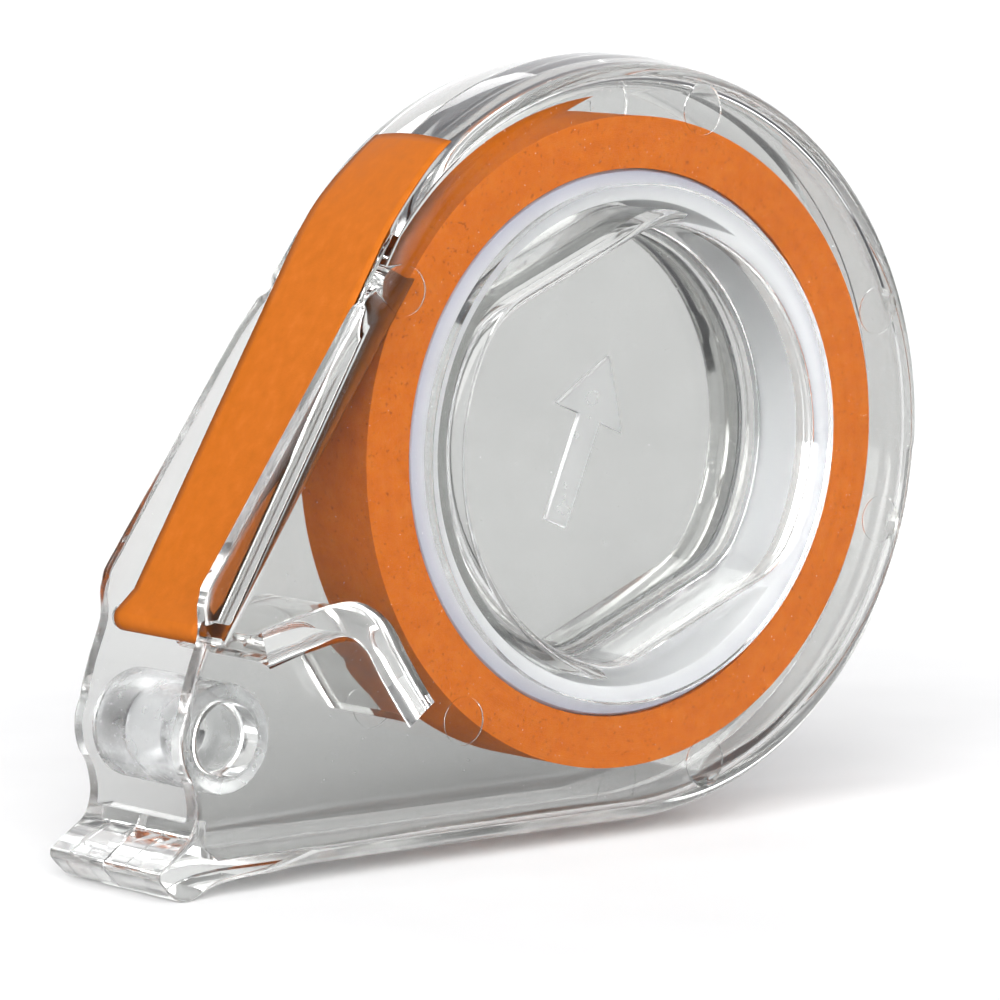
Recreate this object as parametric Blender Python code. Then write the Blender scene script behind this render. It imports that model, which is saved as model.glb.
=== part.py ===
"""Clear teardrop tape dispenser with a roll of 8.4 mm orange cover-up tape and a nose roller.

The case is two clear moulded halves that meet at mid thickness.  Each half carries half of a
hub, on which the paper core of the tape roll turns.  The tape leaves the roll along the front
wall; its free end is parked, folded over the wall's lower bead and laid back up its outside.
A hollow roller turns on two bosses in the open nose, above a flared tear lip.

Frame: +Z up, nose towards -X, the hub's open bowl towards -Y.  Shapes are drawn in millimetres
around the roll's centre and placed so that the origin is the bottom centre of the whole object.
"""
import math

import bmesh
import bpy

MM = 0.001

# Driving dimensions, in millimetres.
CASE_RADIUS = 29.75        # round body, concentric with the roll
CASE_THICKNESS = 14.2
WALL = 1.4                 # side plates and rim
CROWN = 0.6                # the round rim stands this much higher at mid thickness
EDGE_ROUND = 2.2           # rounding between the rim and the side plates
NOSE_ROUND = 0.5           # the same edge on the nose
PARTING_GAP = 0.3
FRONT_NORMAL = 144.8       # direction in which the front wall faces, degrees from +X
LIP_REACH = 46.8           # from the roll's axis forward to the tip of the lip
LIP_DEPTH = 30.95          # from the roll's axis down to the bottom of the lip
NECK_HEIGHT = -25.3        # top edge of the lip's cross wall

WEB_TOP = 4.7              # where the recessed front wall starts, along the front line
WEB_TOP_DEPTH = 29.35      # distance of its outer face from the roll's axis there
WEB_SLOPE = 0.0772         # how fast it recedes towards the nose
WEB_THICKNESS = 1.3
BEAD_ALONG = 32.7          # bead on the web's lower edge
BEAD_DEPTH = 26.95
BEAD_RADIUS = 0.95

TAPE_WIDTH = 8.4
ROLL_RADIUS = 25.6
CORE_OUTER = 21.5
CORE_INNER = 19.0
CLEARANCE = 0.3
LEAD_WIDTH = 10.2          # the parked end spreads to nearly the channel's width
LEAD_THICKNESS = 0.15      # the parked tape, drawn thicker than the real film
LEAD_TOP_ANGLE = 125.5     # where the parked end stops on the round rim

HUB_RADIUS = 18.6
HUB_WALL = 1.2
HUB_FLAT = 16.4            # two flats on the hub, from its axis
HUB_FLAT_TURN = 22.5       # direction in which the flats run, degrees above +X
HUB_FLOOR_FRONT = -0.4     # outer face of the front bowl's floor
GUIDE_RADIUS = 20.4        # low ring on each side plate that keeps the core centred

ROLLER_X = -39.9
ROLLER_Z = -19.3
LOBE_RADIUS = 4.75
ROLLER_RADIUS = 4.2
ROLLER_BORE = 3.1
BOSS_RADIUS = 2.8
BOSS_TIP = 2.0             # how near to mid thickness the roller's bosses reach

RIB_THICKNESS = 2.0        # arched rib between the nose and the roll

HALF = CASE_THICKNESS / 2
INSIDE = HALF - WALL
PART = PARTING_GAP / 2
CENTRE = ((LIP_REACH - CASE_RADIUS) / 2 * MM, 0.0, LIP_DEPTH * MM)


# ---------------------------------------------------------------- helpers

def remove_everything():
    for obj in list(bpy.data.objects):
        bpy.data.objects.remove(obj, do_unlink=True)


def material(name, color, roughness, transmission=0.0):
    mat = bpy.data.materials.new(name)
    mat.use_nodes = True
    shader = mat.node_tree.nodes["Principled BSDF"]
    shader.inputs["Base Color"].default_value = (*color, 1.0)
    shader.inputs["Roughness"].default_value = roughness
    shader.inputs["Metallic"].default_value = 0.0
    shader.inputs["Transmission Weight"].default_value = transmission
    return mat


def arc(centre, radius, start, stop, steps):
    """Points on a circle in the XZ plane, from one angle to another in degrees."""
    angles = [math.radians(start + (stop - start) * k / steps) for k in range(steps + 1)]
    return [(centre[0] + radius * math.cos(a), centre[1] + radius * math.sin(a)) for a in angles]


def front(depth, along):
    """A point at a depth from the roll's axis, and a distance down the front wall."""
    a = math.radians(FRONT_NORMAL)
    return (depth * math.cos(a) - along * math.sin(a), depth * math.sin(a) + along * math.cos(a))


def smoothstep(value, low, high):
    t = min(1.0, max(0.0, (value - low) / (high - low)))
    return t * t * (3 - 2 * t)


def crown_at(degrees):
    """How far the rim stands up at mid thickness: it fades out towards the wall and the sole."""
    return CROWN * smoothstep(degrees, -88, -55) * (1 - smoothstep(degrees, 118, 142))


def web_depth(along):
    return WEB_TOP_DEPTH - WEB_SLOPE * (along - WEB_TOP)


def mesh_object(name, bm, mat, centre=CENTRE):
    bmesh.ops.recalc_face_normals(bm, faces=bm.faces)
    mesh = bpy.data.meshes.new(name)
    bm.to_mesh(mesh)
    bm.free()
    mesh.shade_smooth()
    mesh.set_sharp_from_angle(angle=math.radians(35))
    obj = bpy.data.objects.new(name, mesh)
    obj.location = centre
    bpy.context.scene.collection.objects.link(obj)
    if mat:
        mesh.materials.append(mat)
    return obj


def loft(name, loops, mat=None, centre=CENTRE):
    """A closed solid through loops of (x, y, z) millimetres that have equal point counts."""
    bm = bmesh.new()
    rings = [[bm.verts.new((x * MM, y * MM, z * MM)) for x, y, z in loop] for loop in loops]
    for ring, following in zip(rings, rings[1:]):
        for k in range(len(ring)):
            nxt = (k + 1) % len(ring)
            bm.faces.new((ring[k], ring[nxt], following[nxt], following[k]))
    bm.faces.new(rings[0])
    bm.faces.new(rings[-1])
    return mesh_object(name, bm, mat, centre)


def prism(name, outline, y0, y1, mat=None, centre=CENTRE):
    return loft(name, [[(x, y, z) for x, z in outline] for y in (y0, y1)], mat, centre)


def tool(obj):
    """Marks a cutter or an adder: it shapes other pieces and is not a piece itself."""
    obj.hide_render = True
    obj.display_type = "WIRE"
    return obj


def combine(obj, other, operation):
    mod = obj.modifiers.new(operation.lower() + "_" + other.name, "BOOLEAN")
    mod.operation = operation
    mod.object = tool(other)


def strip_outline(path, thickness):
    """The outline of a strip of even thickness around an open path of (x, z) points."""
    sides = ([], [])
    for k, (x, z) in enumerate(path):
        x0, z0 = path[max(k - 1, 0)]
        x1, z1 = path[min(k + 1, len(path) - 1)]
        length = math.hypot(x1 - x0, z1 - z0)
        nx, nz = (z1 - z0) / length * thickness / 2, -(x1 - x0) / length * thickness / 2
        sides[0].append((x + nx, z + nz))
        sides[1].append((x - nx, z - nz))
    return sides[0] + sides[1][::-1]


def smooth_path(points, steps):
    """A Catmull-Rom curve through the points."""
    ends = [points[0]] + list(points) + [points[-1]]
    path = []
    for p0, p1, p2, p3 in zip(ends, ends[1:], ends[2:], ends[3:]):
        for k in range(steps):
            t = k / steps
            path.append(tuple(
                0.5 * (2 * b + (c - a) * t + (2 * a - 5 * b + 4 * c - d) * t * t
                       + (3 * b - a - 3 * c + d) * t ** 3)
                for a, b, c, d in zip(p0, p1, p2, p3)))
    return path + [points[-1]]


# ---------------------------------------------------------------- the case

def case_outline():
    """The side plates' outline, with each point's edge rounding and crown."""
    steps = 42
    body = arc((0, 0), CASE_RADIUS, -90, FRONT_NORMAL, steps)
    crowns = [crown_at(-90 + (FRONT_NORMAL + 90) * k / steps) for k in range(steps + 1)]
    groove = [front(CASE_RADIUS, 3.8), front(CASE_RADIUS - 0.4, 4.3),
              front(CASE_RADIUS - 0.4, 5.2), front(CASE_RADIUS, 6.0)]
    wall = [front(CASE_RADIUS, along) for along in (12.0, 20.0, 27.0)]
    corner = [front(CASE_RADIUS, 30.3), (-42.0, -8.4), (-42.2, -9.3)]
    chin = [(-42.2, -11.3), (-43.2, -14.0), (-43.9, -16.2)]
    lobe = arc((ROLLER_X, ROLLER_Z), LOBE_RADIUS, 150, 220, 7)
    neck = [(-43.3, -23.6), (-43.25, -24.6), (-43.5, -25.6), (-44.1, -26.5)]
    tip = [(-46.4, -28.3), (-LIP_REACH, -28.75), (-46.75, -29.3), (-45.7, -30.3)]
    heel = [(-45.0, -30.8), (-44.3, -LIP_DEPTH), (-43.6, -30.85), (-42.2, -30.3), (-40.6, -29.95)]
    sole = [(-38.5, -CASE_RADIUS), (-34.0, -CASE_RADIUS), (-17.0, -CASE_RADIUS)]
    soft = body + groove + wall
    hard = corner + chin + lobe + neck + tip + heel
    outline = soft + hard + sole
    rounds = [EDGE_ROUND] * len(soft) + [NOSE_ROUND] * len(hard)
    rounds += [NOSE_ROUND, EDGE_ROUND, EDGE_ROUND]
    return outline, rounds, crowns + [0.0] * (len(outline) - len(body))


def outward(outline):
    """A unit normal at each point of a closed outline that runs anticlockwise."""
    normals = []
    for k in range(len(outline)):
        x0, z0 = outline[k - 1]
        x1, z1 = outline[(k + 1) % len(outline)]
        length = math.hypot(x1 - x0, z1 - z0)
        normals.append(((z1 - z0) / length, -(x1 - x0) / length))
    return normals


def case_block(name, side, mat):
    """One half of the case before it is hollowed: side is -1 for the front, +1 for the back."""
    outline, rounds, crowns = case_outline()
    normals = outward(outline)
    loops = []
    for share in (0.0, 0.3, 0.6, 0.85):
        rise = 1 - share * share
        loops.append([(x + nx * c * rise, side * (PART + (HALF - r - PART) * share), z + nz * c * rise)
                      for (x, z), (nx, nz), r, c in zip(outline, normals, rounds, crowns)])
    for degrees in (0, 22.5, 45, 67.5, 90):
        a = math.radians(degrees)
        loops.append([(x - nx * r * (1 - math.cos(a)), side * (HALF - r * (1 - math.sin(a))),
                       z - nz * r * (1 - math.cos(a)))
                      for (x, z), (nx, nz), r in zip(outline, normals, rounds)])
    return loft(name, loops, mat)


def cavity_outline():
    """The hollow between the side plates, out through the open nose."""
    ring = arc((0, 0), CASE_RADIUS - WALL, -90, FRONT_NORMAL - 2, 40)
    web = [front(web_depth(along) - WEB_THICKNESS, along) for along in (WEB_TOP, BEAD_ALONG)]
    nose = [front(CASE_RADIUS + 4, BEAD_ALONG), (-52.0, NECK_HEIGHT), (-41.9, NECK_HEIGHT)]
    lip = [(-42.2, -27.2), (-40.8, -CASE_RADIUS + WALL)]
    return ring + web + nose + lip


def channel_outline():
    """The recess in front of the front wall, in which the parked tape lies."""
    return [front(web_depth(-3.0), -3.0), front(web_depth(BEAD_ALONG + 2), BEAD_ALONG + 2),
            front(CASE_RADIUS + 6, BEAD_ALONG + 2), front(CASE_RADIUS + 6, -3.0)]


def flatted_circle(radius, flat, steps=9):
    """A circle with two parallel flats, turned to the hub's direction."""
    spread = math.degrees(math.acos(flat / radius))
    right = arc((0, 0), radius, HUB_FLAT_TURN - 90 + spread, HUB_FLAT_TURN + 90 - spread, 2 * steps)
    left = arc((0, 0), radius, HUB_FLAT_TURN + 90 + spread, HUB_FLAT_TURN + 270 - spread, 2 * steps)
    return right + left


def rib_path():
    """The middle line of the arched rib: a slant, a round top and a leg beside the roll."""
    points = [(-36.3, -12.9), (-32.3, -11.9), (-28.4, -11.4), (-25.9, -12.6), (-24.2, -15.2),
              (-22.7, -17.5), (-21.5, -19.2)]
    return smooth_path(points, 3)


def case_half(name, side, mat):
    """A hollow half with its hub, guide ring and roller boss."""
    half = case_block(name, side, mat)
    inner, outer = (side * INSIDE, -side * 3.0)
    combine(half, prism(name + "_cavity", cavity_outline(), inner, outer), "DIFFERENCE")
    combine(half, prism(name + "_channel", channel_outline(), inner, outer), "DIFFERENCE")

    bead = arc(front(BEAD_DEPTH, BEAD_ALONG), BEAD_RADIUS, 0, 337.5, 15)
    combine(half, prism(name + "_bead", bead, side * (INSIDE + 0.4), side * PART), "UNION")

    front_floor = HUB_FLOOR_FRONT + HUB_WALL
    hub_end = front_floor if side < 0 else front_floor + CLEARANCE
    bowl_end = HUB_FLOOR_FRONT if side < 0 else hub_end + HUB_WALL
    hub = flatted_circle(HUB_RADIUS, HUB_FLAT)
    bowl = flatted_circle(HUB_RADIUS - HUB_WALL, HUB_FLAT - HUB_WALL)
    guide = arc((0, 0), GUIDE_RADIUS, 0, 354, 59)
    guide_end = side * (TAPE_WIDTH / 2 + CLEARANCE)
    combine(half, prism(name + "_guide", guide, side * (INSIDE + 0.4), guide_end), "UNION")
    combine(half, prism(name + "_hub", hub, side * (INSIDE + 0.5), hub_end), "UNION")
    combine(half, prism(name + "_bowl", bowl, side * (HALF + 1), bowl_end), "DIFFERENCE")

    boss = arc((ROLLER_X, ROLLER_Z), BOSS_RADIUS, 0, 345, 23)
    combine(half, prism(name + "_boss", boss, side * (INSIDE + 0.4), side * BOSS_TIP), "UNION")
    return half


# ---------------------------------------------------------------- what the case holds

def ring(name, inner, outer, width, steps, mat, centre):
    """A tube about the Y axis, turned from its section by a Screw modifier."""
    bm = bmesh.new()
    edge = 0.25
    section = [(outer - edge, width / 2), (outer, width / 2 - edge), (outer, edge - width / 2),
               (outer - edge, -width / 2), (inner + edge, -width / 2), (inner, edge - width / 2),
               (inner, width / 2 - edge), (inner + edge, width / 2)]
    verts = [bm.verts.new((r * MM, 0, y * MM)) for r, y in section]
    for k in range(len(verts)):
        bm.edges.new((verts[k], verts[(k + 1) % len(verts)]))
    mesh = bpy.data.meshes.new(name)
    bm.to_mesh(mesh)
    bm.free()
    mesh.materials.append(mat)
    obj = bpy.data.objects.new(name, mesh)
    bpy.context.scene.collection.objects.link(obj)
    obj.location = centre
    obj.rotation_euler = (math.radians(90), 0, 0)
    screw = obj.modifiers.new("turn", "SCREW")
    screw.axis = "Z"
    screw.steps = steps
    screw.render_steps = steps
    screw.use_merge_vertices = True
    screw.merge_threshold = 0.00001
    screw.use_smooth_shade = True
    return obj


def lead_path():
    """The tape from beside the roll, round the bead and up the front wall to the rim."""
    skin = CLEARANCE + LEAD_THICKNESS / 2
    turn = BEAD_RADIUS + skin
    inside = [front(BEAD_DEPTH - turn, along) for along in (5.4, 12.0, 20.0, 27.0, BEAD_ALONG - 0.8)]
    fold = arc(front(BEAD_DEPTH, BEAD_ALONG), turn, FRONT_NORMAL + 180, FRONT_NORMAL, 10)
    outside = [front(web_depth(along) + skin, along) for along in (29.3, 21.0, 13.0, WEB_TOP, 0.0)]
    rim = []
    for k in range(6):
        degrees = 141 + (LEAD_TOP_ANGLE - 141) * k / 5
        rim += arc((0, 0), CASE_RADIUS + crown_at(degrees) + skin, degrees, degrees, 1)[:1]
    return inside + fold + outside + rim


def main():
    remove_everything()
    clear = material("clear_plastic", (0.90, 0.92, 0.92), 0.06, 1.0)
    paper = material("white_core", (0.88, 0.88, 0.92), 0.6)
    tape = material("orange_tape", (0.70, 0.20, 0.03), 0.5)
    roller_clear = material("clear_roller", (0.93, 0.94, 0.95), 0.15, 1.0)

    front_case = case_half("case_front", -1, clear)
    case_half("case_back", 1, clear)
    rib = strip_outline(rib_path(), RIB_THICKNESS)
    combine(front_case, prism("rib", rib, -INSIDE - 0.4, INSIDE - CLEARANCE), "UNION")

    ring("tape_core", CORE_INNER, CORE_OUTER, TAPE_WIDTH, 72, paper, CENTRE)
    ring("tape_roll", CORE_OUTER + CLEARANCE, ROLL_RADIUS, TAPE_WIDTH, 72, tape, CENTRE)
    lead = strip_outline(lead_path(), LEAD_THICKNESS)
    prism("tape_lead", lead, -LEAD_WIDTH / 2, LEAD_WIDTH / 2, tape)

    roller_centre = (CENTRE[0] + ROLLER_X * MM, 0, CENTRE[2] + ROLLER_Z * MM)
    roller_length = 2 * (INSIDE - CLEARANCE)
    ring("nose_roller", ROLLER_BORE, ROLLER_RADIUS, roller_length, 32, roller_clear, roller_centre)


main()
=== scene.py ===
"""Looks of the clear tape dispenser with a roll of orange cover-up tape.

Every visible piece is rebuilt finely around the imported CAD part: the two clear moulded halves,
the white core, the wound tape, its parked free end and the hollow nose roller.  Shapes are drawn
in millimetres around the roll's axis and placed there by their objects' location.
"""

import math

import bmesh
import bpy
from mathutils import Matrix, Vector


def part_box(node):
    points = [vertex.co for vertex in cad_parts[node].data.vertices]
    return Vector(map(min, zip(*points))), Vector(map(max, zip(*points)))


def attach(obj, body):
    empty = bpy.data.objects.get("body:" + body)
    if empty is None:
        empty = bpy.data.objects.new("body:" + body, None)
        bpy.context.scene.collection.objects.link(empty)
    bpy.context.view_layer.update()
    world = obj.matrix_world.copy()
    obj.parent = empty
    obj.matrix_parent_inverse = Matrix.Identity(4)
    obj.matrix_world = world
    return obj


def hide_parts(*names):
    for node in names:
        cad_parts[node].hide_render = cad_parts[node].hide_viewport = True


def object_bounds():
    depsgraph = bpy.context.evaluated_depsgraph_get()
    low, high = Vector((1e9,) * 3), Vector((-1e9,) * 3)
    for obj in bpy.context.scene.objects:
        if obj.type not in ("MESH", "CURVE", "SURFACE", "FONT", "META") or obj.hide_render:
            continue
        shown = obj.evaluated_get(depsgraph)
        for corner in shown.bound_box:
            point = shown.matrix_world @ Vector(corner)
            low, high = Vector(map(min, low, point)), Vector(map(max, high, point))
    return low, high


MM = 0.001

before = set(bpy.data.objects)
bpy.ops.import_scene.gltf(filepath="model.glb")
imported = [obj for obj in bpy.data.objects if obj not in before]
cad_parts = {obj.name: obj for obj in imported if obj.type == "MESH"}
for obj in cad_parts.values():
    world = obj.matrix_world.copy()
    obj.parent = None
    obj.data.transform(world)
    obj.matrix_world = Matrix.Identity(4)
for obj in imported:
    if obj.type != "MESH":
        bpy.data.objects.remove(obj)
cad_low, cad_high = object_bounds()


# ---------------------------------------------------------------- sizes read from the frame

def size_of(node):
    low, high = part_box(node)
    return (high - low) / MM


def middle_of(node):
    low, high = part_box(node)
    return (low + high) / 2


AXIS = middle_of("tape_roll")                  # centre of the roll, in metres
ROLL_RADIUS = size_of("tape_roll").x / 2
CORE_RADIUS = size_of("tape_core").x / 2
TAPE_WIDTH = size_of("tape_roll").y
LEAD_WIDTH = size_of("tape_lead").y + 0.4      # it nearly fills the channel
ROLLER_CENTRE = middle_of("nose_roller")
ROLLER_RADIUS = size_of("nose_roller").x / 2
ROLLER_LENGTH = size_of("nose_roller").y
HALF = (cad_high.y - cad_low.y) / 2 / MM       # half the case's thickness
LIP_DEPTH = (AXIS.z - cad_low.z) / MM          # from the roll's axis down to the lip
LIP_REACH = (AXIS.x - cad_low.x) / MM          # and forward to the tip of the lip

# Millimetres around the roll's axis, as in the CAD part.
CASE_RADIUS = 29.75
CROWN = 0.6                # the rim stands this much higher at mid thickness
CROWN_STARTS = (-88, -55)  # over these angles from the sole, the crown grows
CROWN_ENDS = (118, 142)    # and over these, it fades out towards the front wall
WALL = 1.4
EDGE_ROUND = 2.2
NOSE_ROUND = 0.5
INNER_ROUND = 0.7          # inside corner between the rim and the side plates
PART = 0.02                # half the gap at the parting line
PART_BEVEL = 0.1
FRONT_NORMAL = 144.8       # direction in which the front wall faces, degrees from +X
NECK_HEIGHT = -25.3
WEB_TOP = 4.7
WEB_TOP_DEPTH = 29.35
WEB_SLOPE = 0.0772
WEB_THICKNESS = 1.3
BEAD_ALONG = 32.7
BEAD_DEPTH = 26.95
BEAD_RADIUS = 0.95
CORE_BORE = 19.0
HUB_RADIUS = 18.6
HUB_WALL = 1.2
HUB_FLAT = 16.4
HUB_FLAT_TURN = 22.5       # direction in which the hub's two flats run
HUB_CORNER = 7.0           # degrees of arc taken by each rounded corner beside a flat
HUB_FLOOR_FRONT = -0.4
GUIDE_RADIUS = 20.4
GUIDE_GAP = 0.3
ROLLER_BORE = 3.1
LOBE_RADIUS = 4.75
BOSS_RADIUS = 2.8
BOSS_TIP = 2.0
RIB_THICKNESS = 2.0
TAPE_THICKNESS = 0.09
LEAD_TOP_ANGLE = 125.5     # where the parked end stops on the round rim
LEAD_TAPER = 0.11          # share of its width that the parked end loses up there
SINK = 0.4                 # how far bosses, guides and ribs are sunk into their plate
HUB_SINK = 0.5
MARK_RING = 26.6           # the ejector marks' distance from the roll's axis
MARK_ANGLES = (76.0, 20.0, -17.0, -75.0, -131.0, 150.0)
MARK_RADIUS = 1.9
MARK_DEPTH = 0.14
INSIDE = HALF - WALL

# The rib's thickness across the case: it flares into the near plate and is rounded at its far end.
RIB_SECTIONS = [(-INSIDE - SINK, 3.4), (-INSIDE + 0.1, 2.9), (-INSIDE + 0.5, 2.4), (-INSIDE + 1.1, 2.1),
                (-INSIDE + 2.0, RIB_THICKNESS), (INSIDE - 1.0, RIB_THICKNESS), (INSIDE - 0.6, 1.8),
                (INSIDE - 0.4, 1.5), (INSIDE - 0.3, 1.1)]

ROLLER_X = (ROLLER_CENTRE.x - AXIS.x) / MM
ROLLER_Z = (ROLLER_CENTRE.z - AXIS.z) / MM

# The studio: soft glows of the world as (direction they come from, peak brightness), and area lights
# as (name, azimuth and elevation in degrees, size in metres, power in watts).
GLOWS = [((-0.6, -1.0, 0.1), 8.6), ((-1.0, -0.45, 0.05), 5.0), ((0.3, 1.0, 0.15), 1.4)]
GLOW_EDGE, GLOW_FULL = 0.6, 0.97               # cosines at which a glow starts and is full
SOFTBOX_DISTANCE = 4.0
SOFTBOXES = [("key", (-50, 60), (1.2, 1.2), 18.0), ("left", (-105, 30), (0.5, 2.2), 16.0),
             ("right", (80, 25), (0.5, 2.2), 16.0), ("back", (165, 35), (2.2, 0.6), 16.0)]
FLOOR_REACH = 6.0
CAMERA_PLACE = (-0.3044, -0.3776, 0.0852)
CAMERA_TURN = (90 - 6.88, 0.0, -38.85)
CAMERA_LENS = 225.4
CAMERA_SENSOR = 36.0
LIGHT_BOUNCES = 64                             # the plates and rims stack many clear surfaces


# ---------------------------------------------------------------- outlines

def arc(centre, radius, start, stop, steps):
    angles = [math.radians(start + (stop - start) * k / steps) for k in range(steps + 1)]
    return [(centre[0] + radius * math.cos(a), centre[1] + radius * math.sin(a)) for a in angles]


def front(depth, along):
    """A point at a depth from the roll's axis, and a distance down the front wall."""
    a = math.radians(FRONT_NORMAL)
    return (depth * math.cos(a) - along * math.sin(a), depth * math.sin(a) + along * math.cos(a))


def web_depth(along):
    return WEB_TOP_DEPTH - WEB_SLOPE * (along - WEB_TOP)


def smooth_path(points, steps):
    """A Catmull-Rom curve through points of any dimension."""
    ends = [points[0]] + list(points) + [points[-1]]
    path = []
    for p0, p1, p2, p3 in zip(ends, ends[1:], ends[2:], ends[3:]):
        for k in range(steps):
            t = k / steps
            path.append(tuple(
                0.5 * (2 * b + (c - a) * t + (2 * a - 5 * b + 4 * c - d) * t * t
                       + (3 * b - a - 3 * c + d) * t ** 3)
                for a, b, c, d in zip(p0, p1, p2, p3)))
    return path + [tuple(points[-1])]


def outward(outline):
    """A unit normal at each point of a closed outline that runs anticlockwise."""
    normals = []
    for k in range(len(outline)):
        x0, z0 = outline[k - 1]
        x1, z1 = outline[(k + 1) % len(outline)]
        length = math.hypot(x1 - x0, z1 - z0) or 1.0
        normals.append(((z1 - z0) / length, -(x1 - x0) / length))
    return normals


def shrunk(outline, normals, amounts):
    return [(x - nx * s, z - nz * s) for (x, z), (nx, nz), s in zip(outline, normals, amounts)]


def strip_outline(path, thickness):
    """The outline of a strip of even thickness around an open path."""
    sides = ([], [])
    for k, (x, z) in enumerate(path):
        x0, z0 = path[max(k - 1, 0)]
        x1, z1 = path[min(k + 1, len(path) - 1)]
        length = math.hypot(x1 - x0, z1 - z0)
        nx, nz = (z1 - z0) / length * thickness / 2, -(x1 - x0) / length * thickness / 2
        sides[0].append((x + nx, z + nz))
        sides[1].append((x - nx, z - nz))
    return sides[0] + sides[1][::-1]


def smoothstep(value, low, high):
    t = min(1.0, max(0.0, (value - low) / (high - low)))
    return t * t * (3 - 2 * t)


def crown_at(degrees):
    """How far the rim stands up at mid thickness."""
    return CROWN * smoothstep(degrees, *CROWN_STARTS) * (1 - smoothstep(degrees, *CROWN_ENDS))


def flatted_circle(radius, flat, steps=32, corner_steps=5):
    """A circle with two parallel flats whose corners are rounded, turned to the hub's direction."""
    spread = math.degrees(math.acos(flat / radius))
    outline = []
    for middle in (HUB_FLAT_TURN, HUB_FLAT_TURN + 180):
        begin, end = middle - 90 + spread, middle + 90 - spread
        flat_along = math.radians(middle + 180)
        sides = []
        for tip_angle, round_angle in ((begin, begin + HUB_CORNER), (end, end - HUB_CORNER)):
            tip, on_round = arc((0, 0), radius, tip_angle, round_angle, 1)
            reach = math.hypot(tip[0] - on_round[0], tip[1] - on_round[1])
            on_flat = (tip[0] + reach * math.cos(flat_along), tip[1] + reach * math.sin(flat_along))
            sides.append((on_flat, tip, on_round))
        outline += [bezier(*sides[0], k / corner_steps) for k in range(corner_steps)]
        outline += arc((0, 0), radius, begin + HUB_CORNER, end - HUB_CORNER, steps)
        outline += [bezier(*sides[1][::-1], k / corner_steps) for k in range(1, corner_steps + 1)]
    return outline


def bezier(a, b, c, t):
    """A point on the quadratic curve from a to c that bends towards b."""
    return tuple((1 - t) ** 2 * p + 2 * t * (1 - t) * q + t * t * r for p, q, r in zip(a, b, c))


# ---------------------------------------------------------------- meshes

def mesh_object(name, bm, location=AXIS):
    bmesh.ops.recalc_face_normals(bm, faces=bm.faces)
    mesh = bpy.data.meshes.new(name)
    bm.to_mesh(mesh)
    bm.free()
    obj = bpy.data.objects.new(name, mesh)
    obj.location = location
    bpy.context.scene.collection.objects.link(obj)
    return obj


def loft(name, loops, location=AXIS):
    """A closed solid through loops of (x, y, z) millimetres that have equal point counts."""
    bm = bmesh.new()
    rings = [[bm.verts.new((x * MM, y * MM, z * MM)) for x, y, z in loop] for loop in loops]
    for ring, following in zip(rings, rings[1:]):
        for k in range(len(ring)):
            nxt = (k + 1) % len(ring)
            bm.faces.new((ring[k], ring[nxt], following[nxt], following[k]))
    bm.faces.new(rings[0])
    bm.faces.new(rings[-1])
    return mesh_object(name, bm, location)


def at(outline, y):
    return [(x, y, z) for x, z in outline]


def prism(name, outline, y0, y1):
    return loft(name, [at(outline, y0), at(outline, y1)])


def rounded_prism(name, outline, y_open, y_round, radius, steps=6):
    """A prism whose end at y_round has a rounded edge; radius may be one number or one a point."""
    normals = outward(outline)
    radii = [radius] * len(outline) if isinstance(radius, (int, float)) else radius
    toward = 1 if y_round > y_open else -1
    loops = [at(outline, y_open)]
    for k in range(steps + 1):
        a = math.radians(90 * k / steps)
        flat = shrunk(outline, normals, [r * (1 - math.cos(a)) for r in radii])
        loops.append([(x, y_round - toward * r * (1 - math.sin(a)), z)
                      for (x, z), r in zip(flat, radii)])
    return loft(name, loops)


def carve(obj, other, operation):
    mod = obj.modifiers.new(operation.lower() + "_" + other.name, "BOOLEAN")
    mod.operation = operation
    mod.solver = "MANIFOLD"
    mod.material_mode = "TRANSFER"
    mod.object = other


def settle(obj, angle=32):
    """Applies an object's Booleans, removes their tools and sets smooth shading by angle."""
    tools = [m.object for m in obj.modifiers if m.type == "BOOLEAN"]
    depsgraph = bpy.context.evaluated_depsgraph_get()
    mesh = bpy.data.meshes.new_from_object(obj.evaluated_get(depsgraph))
    obj.modifiers.clear()
    obj.data = mesh
    mesh.name = obj.name
    for other in tools:
        bpy.data.objects.remove(other, do_unlink=True)
    mesh.shade_smooth()
    mesh.set_sharp_from_angle(angle=math.radians(angle))
    weighted = obj.modifiers.new("flat faces stay flat", "WEIGHTED_NORMAL")
    weighted.keep_sharp = True
    weighted.weight = 100
    return obj


def turned(name, section, steps, location):
    """A ring about the Y axis from a closed section of (radius, y) points."""
    loops = []
    bm = bmesh.new()
    for k in range(steps):
        a = 2 * math.pi * k / steps
        loops.append([bm.verts.new((r * math.cos(a) * MM, y * MM, r * math.sin(a) * MM))
                      for r, y in section])
    for k in range(steps):
        here, following = loops[k], loops[(k + 1) % steps]
        for m in range(len(section)):
            nxt = (m + 1) % len(section)
            bm.faces.new((here[m], here[nxt], following[nxt], following[m]))
    obj = mesh_object(name, bm, location)
    obj.data.shade_smooth()
    obj.data.set_sharp_from_angle(angle=math.radians(40))
    return obj


# ---------------------------------------------------------------- the clear case

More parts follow.
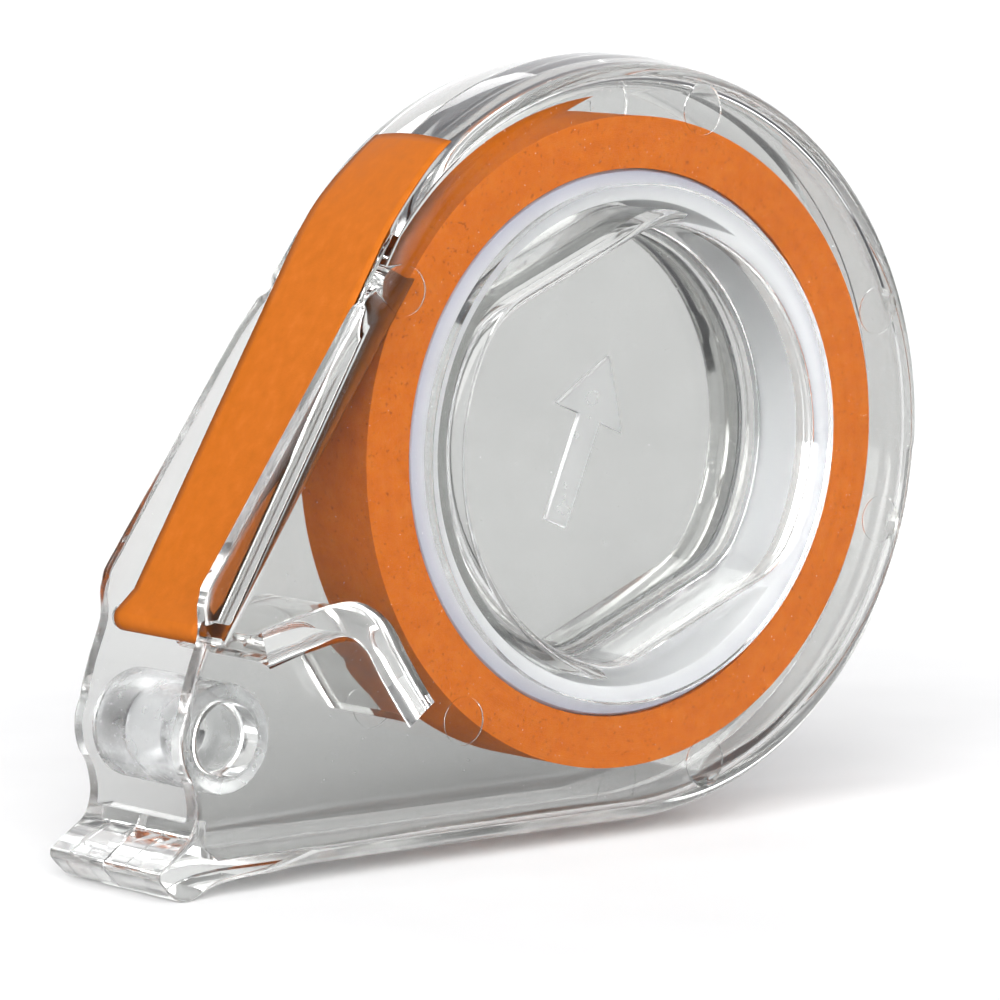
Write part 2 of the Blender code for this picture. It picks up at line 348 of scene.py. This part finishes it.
def case_outline():
    """The side plates' outline: lists of points, outward normals, edge roundings and crowns."""
    angles = [-90 + (FRONT_NORMAL + 90) * k / 120 for k in range(121)]
    radial = [(math.cos(math.radians(a)), math.sin(math.radians(a))) for a in angles]
    body = [(CASE_RADIUS * c, CASE_RADIUS * s) for c, s in radial]
    crowns = [crown_at(a) for a in angles]
    groove = smooth_path([front(CASE_RADIUS, 3.4), front(CASE_RADIUS - 0.05, 3.9),
                          front(CASE_RADIUS - 0.4, 4.4), front(CASE_RADIUS - 0.4, 5.2),
                          front(CASE_RADIUS - 0.05, 5.8), front(CASE_RADIUS, 6.4)], 3)
    wall = [front(CASE_RADIUS, along) for along in (9.0, 12.0, 16.0, 20.0, 24.0, 27.0)]
    nose_points = [front(CASE_RADIUS, 28.6), front(CASE_RADIUS, 30.3), (-42.0, -8.4), (-42.2, -9.3),
                   (-42.2, -11.3), (-43.2, -14.0), (-43.9, -16.2)]
    nose_points += arc((ROLLER_X, ROLLER_Z), LOBE_RADIUS, 152, 218, 4)
    nose_points += [(-43.3, -23.6), (-43.25, -24.6), (-43.5, -25.6), (-44.1, -26.5),
                    (-46.3, -28.2), (-46.7, -28.5), (-LIP_REACH, -28.85), (-46.65, -29.3),
                    (-45.7, -30.3), (-45.0, -30.8), (-44.3, -LIP_DEPTH), (-43.6, -30.85),
                    (-42.2, -30.3), (-40.6, -29.95), (-38.5, -CASE_RADIUS)]
    nose = smooth_path(nose_points, 4)
    sole = [(x, -CASE_RADIUS) for x in (-37.0, -35.5, -34.0, -32.0, -25.0, -17.0, -8.0)]
    straight = len(groove) + len(wall)
    outline = body + groove + wall + nose + sole
    normals = outward(outline)
    normals[:len(body) + straight] = radial + [radial[-1]] * straight
    normals[-len(sole):] = [(0.0, -1.0)] * len(sole)
    start = front(CASE_RADIUS, 0)
    rounds = [EDGE_ROUND] * len(body)
    for x, z in groove + wall:
        reach = math.hypot(x - start[0], z - start[1])
        fade = 0.8 * smoothstep(reach, 1.0, 11.0) + 0.2 * smoothstep(reach, 16.0, 28.0)
        rounds.append(EDGE_ROUND + (NOSE_ROUND - EDGE_ROUND) * fade)
    for x, z in nose:
        rounds.append(NOSE_ROUND - 0.35 * smoothstep(-z, 26.5, 28.0) * smoothstep(-x, 41.0, 44.0))
    for x, z in sole:
        rounds.append(NOSE_ROUND + (EDGE_ROUND - NOSE_ROUND) * smoothstep(x, -38.5, -30.0))
    return outline, normals, rounds, crowns + [0.0] * (len(outline) - len(body))


def case_block(name, side):
    """One half of the case before it is hollowed: side is -1 for the front, +1 for the back."""
    outline, normals, rounds, crowns = case_outline()
    bevel = shrunk(outline, normals, [PART_BEVEL - c for c in crowns])
    loops = [at(bevel, side * PART)]
    for share in (0.0, 0.25, 0.5, 0.75):
        loops.append([(x + nx * c * (1 - share * share),
                       side * (PART + PART_BEVEL + (HALF - r - PART - PART_BEVEL) * share),
                       z + nz * c * (1 - share * share))
                      for (x, z), (nx, nz), r, c in zip(outline, normals, rounds, crowns)])
    for k in range(11):
        a = math.radians(9 * k)
        loops.append([(x - nx * r * (1 - math.cos(a)), side * (HALF - r * (1 - math.sin(a))),
                       z - nz * r * (1 - math.cos(a)))
                      for (x, z), (nx, nz), r in zip(outline, normals, rounds)])
    return loft(name, loops)


def cavity(name, side):
    """The hollow between the side plates, out through the open nose."""
    ring = arc((0, 0), CASE_RADIUS - WALL, -90, FRONT_NORMAL - 2, 110)
    web = [front(web_depth(a) - WEB_THICKNESS, a) for a in (WEB_TOP, 10.0, 16.0, 22.0, 28.0, BEAD_ALONG)]
    nose = [front(CASE_RADIUS + 4, BEAD_ALONG), (-52.0, NECK_HEIGHT), (-41.9, NECK_HEIGHT)]
    lip = [(-42.2, -27.2), (-40.8, -CASE_RADIUS + WALL), (-34.0, -CASE_RADIUS + WALL),
           (-20.0, -CASE_RADIUS + WALL)]
    outline = ring + web + nose + lip
    rounds = [INNER_ROUND] * (len(ring) + len(web)) + [0.2] * 6 + [INNER_ROUND]
    return rounded_prism(name, outline, -side * 3.0, side * INSIDE, rounds)


def channel(name, side):
    """The recess in front of the front wall, in which the parked tape lies."""
    outline = [front(web_depth(-3.0), -3.0), front(web_depth(15.0), 15.0),
               front(web_depth(BEAD_ALONG + 2), BEAD_ALONG + 2),
               front(CASE_RADIUS + 6, BEAD_ALONG + 2), front(CASE_RADIUS + 6, -3.0)][::-1]
    return rounded_prism(name, outline[::-1], -side * 3.0, side * INSIDE, 0.3, 4)


def rib_path():
    points = [(-36.3, -12.9), (-32.3, -11.9), (-28.4, -11.4), (-25.9, -12.6), (-24.2, -15.2),
              (-22.7, -17.5), (-21.5, -19.2)]
    return smooth_path(points, 8)


def arrow_outline():
    """A plain straight arrow on the hub's floor."""
    length, shaft, head, barb = 14.0, 1.15, 5.2, 3.6
    shift = 1.0
    a = math.radians(67.0)
    points = [(-length / 2, -shaft), (length / 2 - head, -shaft), (length / 2 - head, -barb),
              (length / 2, 0.0), (length / 2 - head, barb), (length / 2 - head, shaft),
              (-length / 2, shaft)]
    return [(u * math.cos(a) - v * math.sin(a) - shift, u * math.sin(a) + v * math.cos(a))
            for u, v in points]


def case_half(name, side, clear, frosted):
    """A clear half with its hub bowl, guide ring, roller boss and ejector marks."""
    half = case_block(name, side)
    half.data.materials.append(clear)
    tag = name + "_"
    carve(half, cavity(tag + "cavity", side), "DIFFERENCE")
    carve(half, channel(tag + "channel", side), "DIFFERENCE")
    bead = arc(front(BEAD_DEPTH, BEAD_ALONG), BEAD_RADIUS, 0, 352.5, 47)
    carve(half, prism(tag + "bead", bead, side * (INSIDE + SINK), side * PART), "UNION")

    front_floor = HUB_FLOOR_FRONT + HUB_WALL
    hub_end = front_floor if side < 0 else front_floor + 2 * PART
    bowl_end = HUB_FLOOR_FRONT if side < 0 else hub_end + HUB_WALL
    hub = flatted_circle(HUB_RADIUS, HUB_FLAT)
    bowl = flatted_circle(HUB_RADIUS - HUB_WALL, HUB_FLAT - HUB_WALL)
    guide = arc((0, 0), GUIDE_RADIUS, 0, 357.5, 143)
    guide_end = side * (TAPE_WIDTH / 2 + GUIDE_GAP)
    guide = rounded_prism(tag + "guide", guide, side * (INSIDE + SINK), guide_end, 0.25, 4)
    carve(half, guide, "UNION")
    carve(half, rounded_prism(tag + "hub", hub, side * (INSIDE + HUB_SINK), hub_end, 0.4, 5), "UNION")
    carve(half, bowl_cutter(tag + "bowl", bowl, side, bowl_end), "DIFFERENCE")

    boss = arc((ROLLER_X, ROLLER_Z), BOSS_RADIUS, 0, 352.5, 47)
    boss = rounded_prism(tag + "boss", boss, side * (INSIDE + SINK), side * BOSS_TIP, 0.4, 5)
    carve(half, boss, "UNION")
    for degrees in MARK_ANGLES:
        a = math.radians(degrees)
        mark = arc((MARK_RING * math.cos(a), MARK_RING * math.sin(a)), MARK_RADIUS, 0, 350, 35)
        mark = prism(tag + "mark", mark, side * (INSIDE - 1.0), side * (INSIDE + MARK_DEPTH))
        carve(half, mark, "DIFFERENCE")
    if side < 0:
        rib = [at(strip_outline(rib_path(), thickness), y) for y, thickness in RIB_SECTIONS]
        carve(half, loft(tag + "rib", rib), "UNION")
        arrow = rounded_prism(tag + "arrow", arrow_outline(), bowl_end + 0.3, bowl_end - 0.35, 0.2, 4)
        arrow.data.materials.append(frosted)
        carve(half, arrow, "UNION")
    return settle(half)


def bowl_cutter(name, outline, side, floor):
    """The finger bowl with a rounded mouth and a rounded floor edge."""
    normals = outward(outline)
    mouth, bottom = 1.0, 0.8
    loops = [at(shrunk(outline, normals, [-mouth] * len(outline)), side * (HALF + 1.0))]
    for k in range(9):
        a = math.radians(90 - 90 * k / 8)
        loops.append(at(shrunk(outline, normals, [-mouth * (1 - math.cos(a))] * len(outline)),
                        side * (HALF - mouth * (1 - math.sin(a)))))
    for k in range(9):
        a = math.radians(90 * k / 8)
        loops.append(at(shrunk(outline, normals, [bottom * (1 - math.cos(a))] * len(outline)),
                        floor + side * bottom * (1 - math.sin(a))))
    return loft(name, loops)


# ---------------------------------------------------------------- the roll, its core and the roller

def roll_section():
    """The wound tape: its faces step in and out a little as the layers wander."""
    half = TAPE_WIDTH / 2
    inner, outer = CORE_RADIUS + 0.02, ROLL_RADIUS
    turns = 14
    near, far = [], []
    for k in range(turns + 1):
        r = inner + (outer - inner) * k / turns
        wander = 0.03 * math.sin(k * 2.4) + 0.02 * math.sin(k * 5.1 + 1)
        near.append((r, -half + abs(wander)))
        far.append((r, half - abs(wander) * 0.8))
    return near + far[::-1]


def core_section():
    half = TAPE_WIDTH / 2
    return ([(CORE_BORE + 0.35, -half), (CORE_BORE + 0.1, -half + 0.08), (CORE_BORE, -half + 0.35),
             (CORE_BORE, half - 0.35), (CORE_BORE + 0.1, half - 0.08), (CORE_BORE + 0.35, half),
             (CORE_RADIUS - 0.7, half), (CORE_RADIUS - 0.25, half - 0.1), (CORE_RADIUS, half - 0.45),
             (CORE_RADIUS, -half + 0.45), (CORE_RADIUS - 0.25, -half + 0.1), (CORE_RADIUS - 0.7, -half)])


def roller_section():
    half = ROLLER_LENGTH / 2
    edge = 0.3
    outer = []
    for k in range(5):
        a = math.radians(90 * k / 4)
        outer.append((ROLLER_RADIUS - edge * (1 - math.sin(a)), -half + edge * (1 - math.cos(a))))
    outer += [(r, -y) for r, y in outer[::-1]]
    inner = [(ROLLER_BORE, half - 0.15), (ROLLER_BORE, -half + 0.15)]
    return outer + [(ROLLER_BORE + 0.15, half)] + inner + [(ROLLER_BORE + 0.15, -half)]


def tape_path():
    """The middle of the free tape: off the roll, down inside the wall, round the bead and up outside."""
    skin = 0.02 + TAPE_THICKNESS / 2
    turn = BEAD_RADIUS + skin
    inside = [front(BEAD_DEPTH - turn, a) for a in (1.0, 6.0, 12.0, 18.0, 24.0, 29.0, BEAD_ALONG - 0.8)]
    fold = arc(front(BEAD_DEPTH, BEAD_ALONG), turn, FRONT_NORMAL + 180, FRONT_NORMAL, 16)
    outside = [front(web_depth(a) + skin, a) for a in (30.5, 27.0, 22.0, 17.0, 12.0, 8.0, WEB_TOP, 2.5, 0.0)]
    return inside, fold, outside


def tape_strip(name, tape):
    """The parked tape as a thin band whose upper end follows the crown of the rim."""
    inside, fold, outside = tape_path()
    rim_start = 141.0
    rim_angles = [rim_start - (rim_start - LEAD_TOP_ANGLE) * k / 10 for k in range(11)]
    skin = 0.03 + TAPE_THICKNESS / 2
    across = [LEAD_WIDTH * (k / 12 - 0.5) for k in range(13)]
    rows = [[(x, y, z) for y in across] for x, z in inside + fold + outside]
    for degrees in rim_angles:
        a = math.radians(degrees)
        crown = crown_at(degrees)
        reach = HALF - EDGE_ROUND
        width = 1 - LEAD_TAPER * smoothstep(-degrees, -rim_start, -LEAD_TOP_ANGLE)
        row = []
        for y in (width * place for place in across):
            share = min(1.0, abs(y) / reach)
            r = CASE_RADIUS + crown * (1 - share * share) + skin
            row.append((r * math.cos(a), y, r * math.sin(a)))
        rows.append(row)
    bm = bmesh.new()
    verts = [[bm.verts.new(tuple(c * MM for c in p)) for p in row] for row in rows]
    for row, following in zip(verts, verts[1:]):
        for k in range(len(across) - 1):
            bm.faces.new((row[k], row[k + 1], following[k + 1], following[k]))
    obj = mesh_object(name, bm)
    solid = obj.modifiers.new("thickness", "SOLIDIFY")
    solid.thickness = TAPE_THICKNESS * MM
    solid.offset = 0
    obj.data.materials.append(tape)
    obj.data.shade_smooth()
    return obj


# ---------------------------------------------------------------- materials

def new_material(name):
    mat = bpy.data.materials.new(name)
    mat.use_nodes = True
    nodes = mat.node_tree.nodes
    return mat, nodes, mat.node_tree.links, nodes["Principled BSDF"]


def node(nodes, kind, **values):
    made = nodes.new(kind)
    for key, value in values.items():
        if key in made.inputs:
            made.inputs[key].default_value = value
        else:
            setattr(made, key, value)
    return made


def noise(nodes, links, coordinates, scale, detail=3.0, roughness=0.5):
    made = node(nodes, "ShaderNodeTexNoise", Scale=scale, Detail=detail, Roughness=roughness)
    links.new(coordinates, made.inputs["Vector"])
    return made.outputs["Fac"]


def remap(nodes, links, value, low, high, from_low=0.3, from_high=0.7):
    made = nodes.new("ShaderNodeMapRange")
    links.new(value, made.inputs["Value"])
    made.inputs["From Min"].default_value = from_low
    made.inputs["From Max"].default_value = from_high
    made.inputs["To Min"].default_value = low
    made.inputs["To Max"].default_value = high
    return made.outputs["Result"]


def ramp(nodes, links, value, stops):
    made = nodes.new("ShaderNodeValToRGB")
    links.new(value, made.inputs["Fac"])
    elements = made.color_ramp.elements
    while len(elements) < len(stops):
        elements.new(0.5)
    for element, (position, color) in zip(elements, stops):
        element.position = position
        element.color = (*color, 1.0)
    return made.outputs["Color"]


def bump(nodes, links, height, strength, distance, normal=None):
    made = node(nodes, "ShaderNodeBump", Strength=strength, Distance=distance)
    links.new(height, made.inputs["Height"])
    if normal:
        links.new(normal, made.inputs["Normal"])
    return made.outputs["Normal"]


def clear_plastic(name, tint, roughness, wave, glint):
    """Clear moulded plastic: faint flow waves, handling haze and fine dust; glint tints reflections."""
    mat, nodes, links, shader = new_material(name)
    place = nodes.new("ShaderNodeTexCoord").outputs["Object"]
    flow = noise(nodes, links, place, 90.0, 2.0)
    haze = noise(nodes, links, place, 420.0, 4.0)
    dust = noise(nodes, links, place, 5200.0, 1.0)
    low = tuple(c * 0.97 for c in tint)
    links.new(ramp(nodes, links, flow, [(0.3, low), (0.7, tint)]), shader.inputs["Base Color"])
    hazed = remap(nodes, links, haze, roughness * 0.6, roughness * 1.6)
    specks = remap(nodes, links, dust, 0.0, 0.25, 0.72, 0.8)
    total = node(nodes, "ShaderNodeMath", operation="ADD")
    links.new(hazed, total.inputs[0])
    links.new(specks, total.inputs[1])
    links.new(total.outputs["Value"], shader.inputs["Roughness"])
    waves = bump(nodes, links, flow, wave, 0.0002)
    links.new(waves, shader.inputs["Normal"])
    shader.inputs["Transmission Weight"].default_value = 1.0
    shader.inputs["IOR"].default_value = 1.49
    shader.inputs["Specular Tint"].default_value = (glint, glint, glint, 1.0)
    shader.inputs["Specular IOR Level"].default_value = 0.03
    return mat


def tape_material():
    """Opaque orange paper tape with a faint fibre grain and mottling."""
    mat, nodes, links, shader = new_material("orange_tape")
    place = nodes.new("ShaderNodeTexCoord").outputs["Object"]
    mottle = noise(nodes, links, place, 900.0, 4.0, 0.6)
    links.new(ramp(nodes, links, mottle, [(0.25, (0.24, 0.062, 0.005)), (0.55, (0.27, 0.070, 0.007)),
                                          (0.8, (0.30, 0.082, 0.012))]), shader.inputs["Base Color"])
    links.new(remap(nodes, links, mottle, 0.42, 0.62), shader.inputs["Roughness"])
    shader.inputs["Specular IOR Level"].default_value = 0.03
    fibre = noise(nodes, links, place, 6000.0, 2.0)
    links.new(bump(nodes, links, fibre, 0.12, 0.0001), shader.inputs["Normal"])
    return mat


def radius_of(nodes, links, place):
    """Distance from the Y axis, in metres."""
    flat = node(nodes, "ShaderNodeVectorMath", operation="MULTIPLY")
    flat.inputs[1].default_value = (1.0, 0.0, 1.0)
    links.new(place, flat.inputs[0])
    length = node(nodes, "ShaderNodeVectorMath", operation="LENGTH")
    links.new(flat.outputs["Vector"], length.inputs[0])
    return length.outputs["Value"]


def roll_material():
    """The same tape wound up: fine layer lines and a dusty, mottled end face."""
    mat, nodes, links, shader = new_material("orange_roll")
    place = nodes.new("ShaderNodeTexCoord").outputs["Object"]
    radius = radius_of(nodes, links, place)
    layers = node(nodes, "ShaderNodeTexNoise", noise_dimensions="1D", Scale=9000.0, Detail=2.0)
    links.new(radius, layers.inputs["W"])
    mottle = noise(nodes, links, place, 700.0, 5.0, 0.65)
    speck = noise(nodes, links, place, 3200.0, 2.0)
    color = ramp(nodes, links, mottle, [(0.25, (0.72, 0.155, 0.004)), (0.5, (0.81, 0.186, 0.007)),
                                        (0.78, (0.86, 0.23, 0.018))])
    dark = ramp(nodes, links, speck, [(0.28, (0.6, 0.55, 0.5)), (0.37, (1.0, 1.0, 1.0))])
    mixed = node(nodes, "ShaderNodeMix", data_type="RGBA", blend_type="MULTIPLY")
    mixed.inputs[0].default_value = 1.0
    links.new(color, mixed.inputs[6])
    links.new(dark, mixed.inputs[7])
    links.new(mixed.outputs[2], shader.inputs["Base Color"])
    links.new(remap(nodes, links, mottle, 0.5, 0.7), shader.inputs["Roughness"])
    shader.inputs["Specular IOR Level"].default_value = 0.03
    lines = bump(nodes, links, layers.outputs["Fac"], 0.25, 0.00008)
    links.new(bump(nodes, links, mottle, 0.2, 0.0001, lines), shader.inputs["Normal"])
    return mat


def core_material():
    """White plastic core with painted shade: darker and lavender grey towards its rim, with faint turning
    marks.
    """
    mat, nodes, links, shader = new_material("white_core")
    place = nodes.new("ShaderNodeTexCoord").outputs["Object"]
    radius = radius_of(nodes, links, place)
    share = remap(nodes, links, radius, 0.0, 1.0, (CORE_RADIUS - 2.2) * MM, CORE_RADIUS * MM)
    # painted shade: the colour falls to a lavender grey over the outer 2.2 mm, where the rim would be shaded
    links.new(ramp(nodes, links, share, [(0.0, (0.93, 0.94, 0.97)), (0.45, (0.86, 0.87, 0.93)),
                                         (1.0, (0.52, 0.52, 0.66))]), shader.inputs["Base Color"])
    grain = noise(nodes, links, place, 1500.0, 3.0)
    links.new(remap(nodes, links, grain, 0.35, 0.5), shader.inputs["Roughness"])
    links.new(bump(nodes, links, grain, 0.08, 0.0001), shader.inputs["Normal"])
    return mat


def floor_material():
    mat, nodes, links, shader = new_material("pale_floor")
    place = nodes.new("ShaderNodeTexCoord").outputs["Object"]
    grain = noise(nodes, links, place, 60.0, 2.0)
    links.new(ramp(nodes, links, grain, [(0.3, (0.665, 0.665, 0.665)), (0.7, (0.685, 0.685, 0.685))]),
              shader.inputs["Base Color"])
    shader.inputs["Roughness"].default_value = 0.8
    shader.inputs["Specular IOR Level"].default_value = 0.1
    return mat


# ---------------------------------------------------------------- stage

def softbox(name, direction, distance, size, power):
    """A square area light that looks at the object from a direction (azimuth, elevation)."""
    azimuth, elevation = (math.radians(v) for v in direction)
    toward = Vector((math.sin(azimuth) * math.cos(elevation), -math.cos(azimuth) * math.cos(elevation),
                     math.sin(elevation)))
    light = bpy.data.lights.new(name, "AREA")
    light.shape = "RECTANGLE"
    light.size, light.size_y = size
    light.energy = power
    obj = bpy.data.objects.new(name, light)
    obj.location = AXIS + toward * distance
    obj.rotation_euler = (-toward).to_track_quat("-Z", "Y").to_euler()
    bpy.context.scene.collection.objects.link(obj)


def build_world():
    """A soft studio: a dim sky with glows from the front left, the left and behind."""
    world = bpy.data.worlds.new("studio")
    bpy.context.scene.world = world
    world.use_nodes = True
    nodes, links = world.node_tree.nodes, world.node_tree.links
    background = nodes["Background"]
    place = nodes.new("ShaderNodeTexCoord").outputs["Generated"]
    split = nodes.new("ShaderNodeSeparateXYZ")
    links.new(place, split.inputs["Vector"])
    height = remap(nodes, links, split.outputs["Z"], 0.0, 1.0, -1.0, 1.0)
    sky = ramp(nodes, links, height, [(0.48, (0.30, 0.30, 0.30)), (0.52, (0.12, 0.12, 0.13)),
                                      (0.68, (0.14, 0.14, 0.16)), (0.92, (0.34, 0.34, 0.35))])
    glows = sky                                # the sky with every glow so far added to it
    for direction, peak in GLOWS:
        facing = node(nodes, "ShaderNodeVectorMath", operation="DOT_PRODUCT")
        facing.inputs[1].default_value = Vector(direction).normalized()
        links.new(place, facing.inputs[0])
        glow = remap(nodes, links, facing.outputs["Value"], 0.0, peak, GLOW_EDGE, GLOW_FULL)
        lit = node(nodes, "ShaderNodeMix", data_type="RGBA", blend_type="ADD")
        lit.inputs[0].default_value = 1.0
        links.new(glows, lit.inputs[6])
        links.new(glow, lit.inputs[7])
        glows = lit.outputs[2]
    links.new(glows, background.inputs["Color"])
    background.inputs["Strength"].default_value = 1.0


def build_floor():
    bm = bmesh.new()
    corners = [(-1, -1), (1, -1), (1, 1), (-1, 1)]
    bm.faces.new([bm.verts.new((x * FLOOR_REACH, y * FLOOR_REACH, 0.0)) for x, y in corners])
    floor = mesh_object("floor", bm, (0.0, 0.0, cad_low.z))
    floor.data.materials.append(floor_material())


def build_camera():
    camera = bpy.data.cameras.new("camera")
    camera.lens = CAMERA_LENS
    camera.sensor_width = CAMERA_SENSOR
    obj = bpy.data.objects.new("camera", camera)
    obj.location = CAMERA_PLACE
    obj.rotation_euler = tuple(math.radians(turn) for turn in CAMERA_TURN)
    bpy.context.scene.collection.objects.link(obj)
    bpy.context.scene.camera = obj


# ---------------------------------------------------------------- assembly

def mount(obj, body, slot, *stands_for):
    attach(obj, body)
    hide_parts(*stands_for)


def main():
    # painted shade: the clear plastic's grey tint darkens everything seen through the plates, standing in
    # for darker surroundings
    clear = clear_plastic("clear_plastic", (0.74, 0.745, 0.735), 0.03, 0.05, 0.25)
    frosted = clear_plastic("frosted_plastic", (0.88, 0.89, 0.89), 0.35, 0.5, 0.6)
    roller_clear = clear_plastic("clear_roller", (0.95, 0.96, 0.97), 0.2, 1.4, 1.0)
    tape = tape_material()

    mount(case_half("front_shell", -1, clear, frosted), "case", "clear_plastic", "case_front")
    mount(case_half("back_shell", 1, clear, frosted), "case", "clear_plastic", "case_back")

    core = turned("core_ring", core_section(), 180, AXIS)
    core.data.materials.append(core_material())
    mount(core, "reel", "white_core", "tape_core")

    roll = turned("wound_tape", roll_section(), 220, AXIS)
    roll.data.materials.append(roll_material())
    mount(roll, "reel", "orange_tape", "tape_roll")

    mount(tape_strip("parked_tape", tape), "case", "orange_tape", "tape_lead")

    roller = turned("hollow_roller", roller_section(), 96, ROLLER_CENTRE)
    roller.data.materials.append(roller_clear)
    mount(roller, "roller", "clear_roller", "nose_roller")

    build_world()
    build_floor()
    for name, direction, size, power in SOFTBOXES:
        softbox(name, direction, SOFTBOX_DISTANCE, size, power)
    build_camera()
    scene = bpy.context.scene
    scene.view_settings.view_transform = "Standard"
    scene.cycles.max_bounces = LIGHT_BOUNCES
    scene.cycles.transmission_bounces = LIGHT_BOUNCES
    scene.cycles.glossy_bounces = LIGHT_BOUNCES


main()
